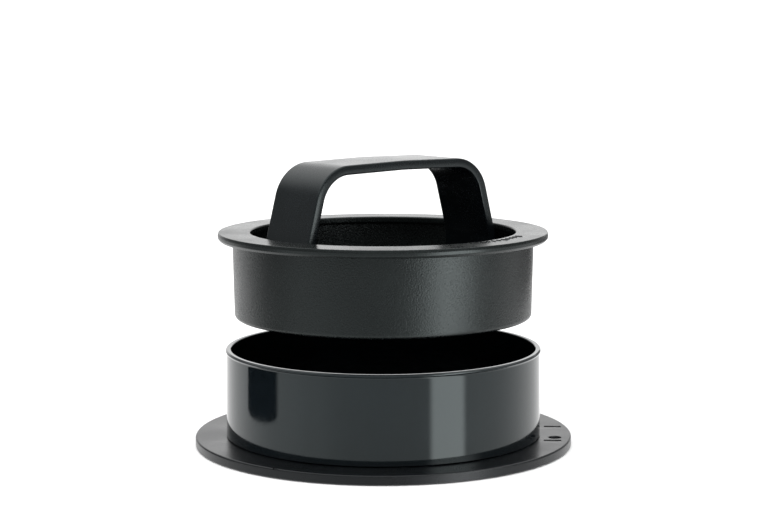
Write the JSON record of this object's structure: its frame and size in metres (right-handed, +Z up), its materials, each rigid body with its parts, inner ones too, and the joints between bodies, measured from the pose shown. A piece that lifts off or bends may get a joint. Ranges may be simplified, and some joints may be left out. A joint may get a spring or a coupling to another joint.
{
  "type": "hand patty press",
  "caption": "Round hand press for minced-meat patties: mould ring on a flanged base plate, with a cup-shaped plunger and twist-out core under a D-handle.",
  "frame": {"origin": "centre of the underside of the base plate, on the surface the press stands on", "axes": "+Z up along the pressing axis; X along the span of the handle"},
  "size_m": [0.1416, 0.1416, 0.1072],
  "materials": {
    "base_plastic": "black injection-moulded plastic, fine satin top, slightly glossier edge",
    "ring_plastic": "black injection-moulded plastic, polished mirror-like wall",
    "press_plastic": "black injection-moulded plastic, fine spark-eroded grain",
    "core_plastic": "black injection-moulded plastic, fine spark-eroded grain",
    "handle_plastic": "black injection-moulded plastic, smooth satin"
  },
  "bodies": {
    "base": {"base_plate": "base_plastic"},
    "mould": {"mould_ring": "ring_plastic"},
    "press": {"press_ring": "press_plastic"},
    "core": {"core_press": "core_plastic", "handle": "handle_plastic"}
  },
  "joints": [
    {"name": "ring_lift", "type": "slide", "parent": "base", "child": "mould", "axis": [0, 0, 1], "range_m": [0, 0.045]},
    {"name": "press_lift", "type": "slide", "parent": "mould", "child": "press", "axis": [0, 0, 1], "range_m": [-0.0405, 0.04]},
    {"name": "core_twist", "type": "hinge", "parent": "press", "child": "core", "pos_m": [0, 0, 0.0645], "axis": [0, 0, 1], "range_deg": [-27, 0]}
  ]
}
